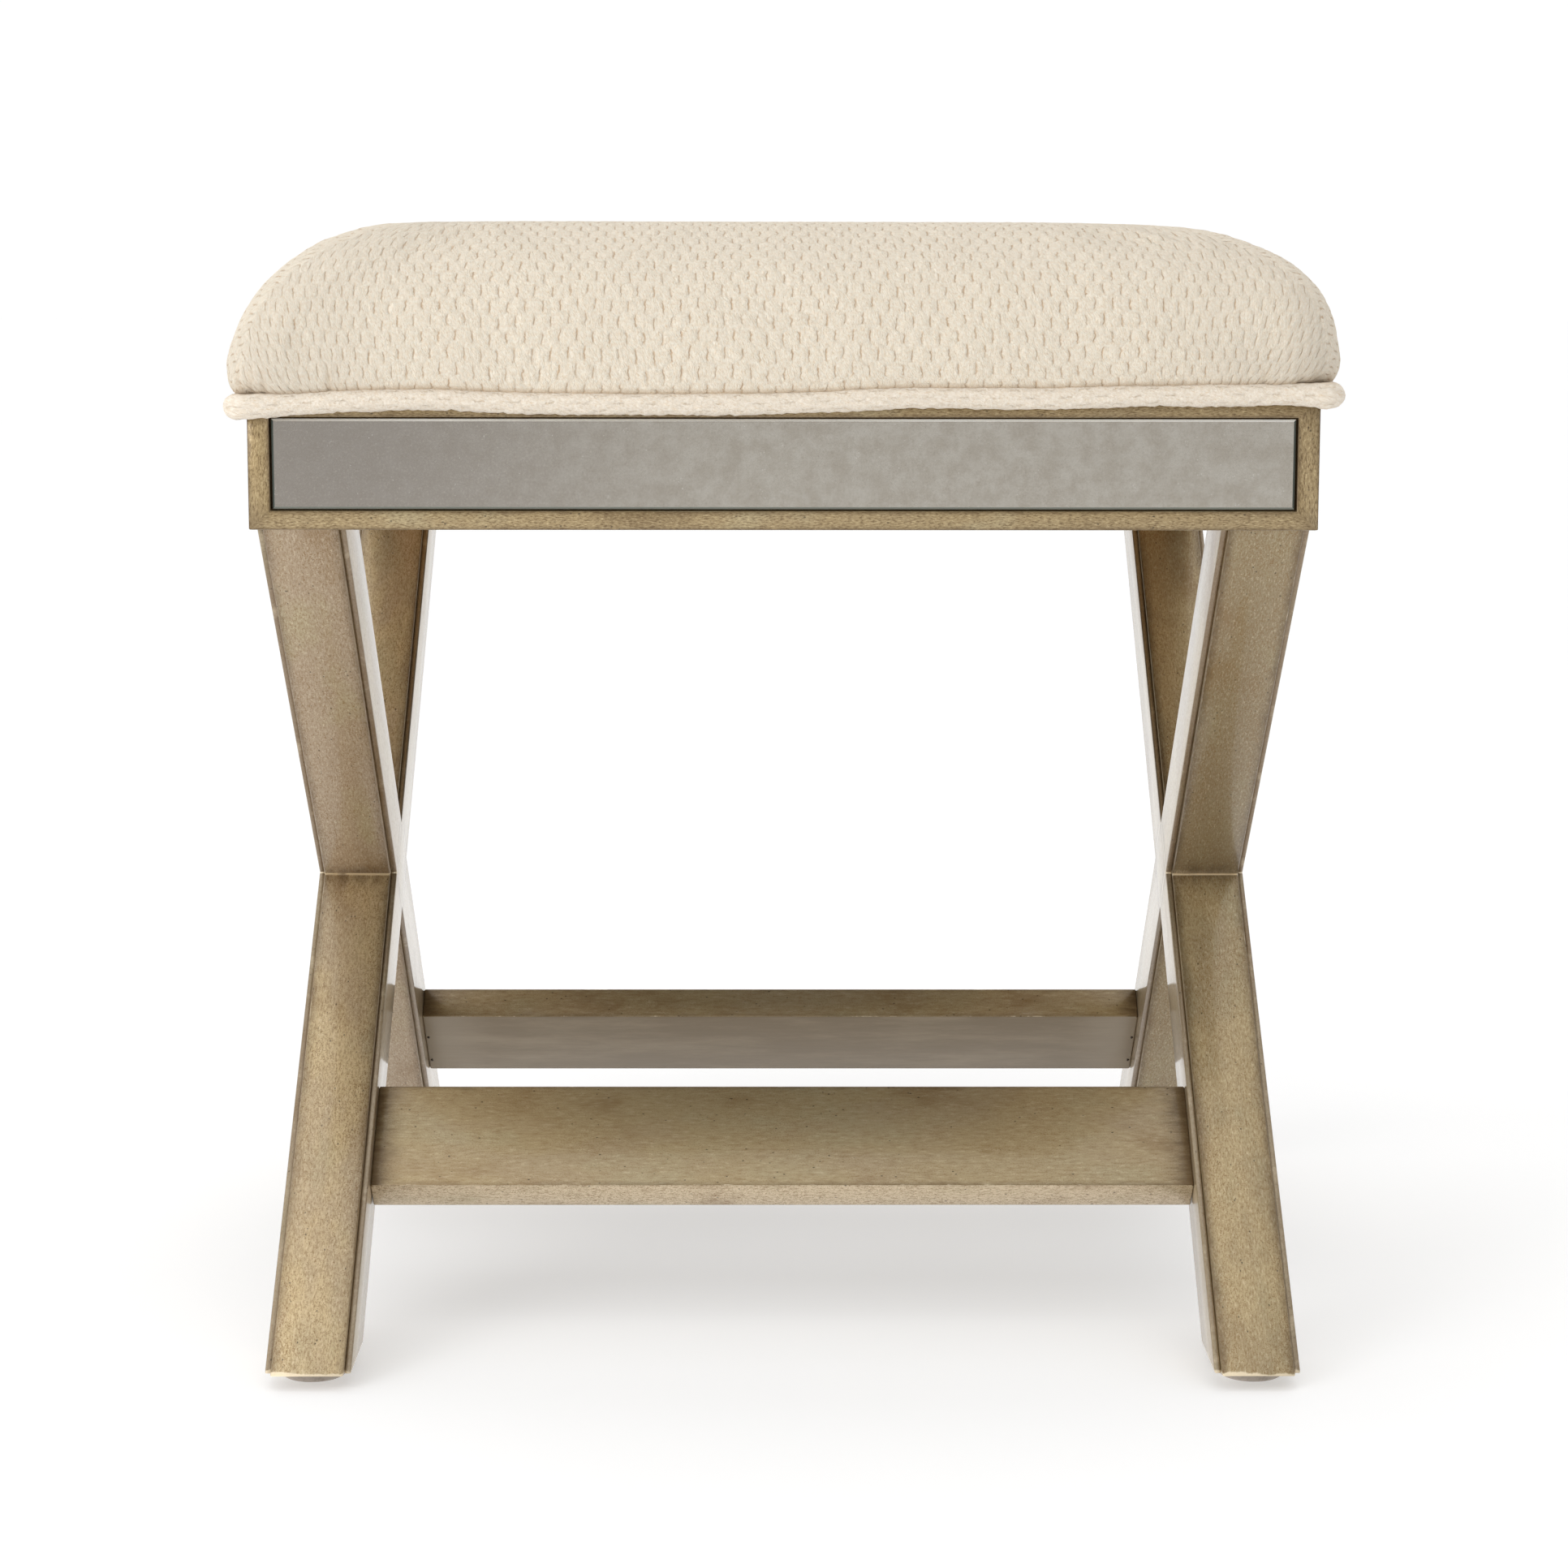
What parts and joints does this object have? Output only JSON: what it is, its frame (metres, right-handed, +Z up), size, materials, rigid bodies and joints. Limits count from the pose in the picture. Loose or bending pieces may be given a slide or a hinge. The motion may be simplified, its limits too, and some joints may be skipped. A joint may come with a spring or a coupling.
{
  "type": "vanity stool",
  "caption": "Square upholstered vanity stool with a bevelled mirror apron, crossed-leg end frames and slanted stretchers.",
  "frame": {"origin": "centre of the footprint on the floor", "axes": "+Z up, the front looks along -Y, +X to the right seen from the front"},
  "size_m": [0.482, 0.482, 0.515],
  "materials": {
    "gilded_wood": "champagne gold and silver leaf with a brown glaze, glossy clear coat",
    "bare_wood": "bare softwood, unfinished",
    "plywood": "bare plywood",
    "antiqued_mirror": "antiqued grey mirror, polished with a bevelled edge",
    "cover_cloth": "cream chenille with a raised tuft weave",
    "foam": "open-cell polyurethane foam",
    "dust_cloth": "black non-woven cloth",
    "steel": "zinc-plated",
    "brass": "plain",
    "brad_steel": "dulled under the glaze",
    "beech": "fluted beech dowel",
    "glide_plastic": "pale grey"
  },
  "bodies": {
    "root": {"apron_back_rail": "gilded_wood", "apron_front_rail": "gilded_wood", "apron_left_rail": "gilded_wood", "apron_right_rail": "gilded_wood", "back_mirror": "antiqued_mirror", "back_stretcher": "gilded_wood", "bearer_screws": "steel", "corner_block_back_left": "bare_wood", "corner_block_back_right": "bare_wood", "corner_block_front_left": "bare_wood", "corner_block_front_right": "bare_wood", "corner_block_screws": "steel", "dust_cover": "dust_cloth", "dust_cover_staples": "steel", "foot_glide_back_left": "glide_plastic", "foot_glide_back_right": "glide_plastic", "foot_glide_front_left": "glide_plastic", "foot_glide_front_right": "glide_plastic", "front_mirror": "antiqued_mirror", "front_stretcher": "gilded_wood", "glide_screws": "steel", "left_back_leg": "gilded_wood", "left_bearer": "bare_wood", "left_front_leg": "gilded_wood", "left_inner_panel": "gilded_wood", "left_mirror": "antiqued_mirror", "left_outer_panel": "gilded_wood", "leg_bolts": "steel", "leg_inserts": "brass", "leg_washers": "steel", "right_back_leg": "gilded_wood", "right_bearer": "bare_wood", "right_front_leg": "gilded_wood", "right_inner_panel": "gilded_wood", "right_mirror": "antiqued_mirror", "right_outer_panel": "gilded_wood", "seat_board": "plywood", "seat_cover": "cover_cloth", "seat_foam": "foam", "seat_screws": "steel", "seat_welt": "cover_cloth", "stretcher_brads": "brad_steel", "stretcher_dowels": "beech"}
  },
  "joints": []
}
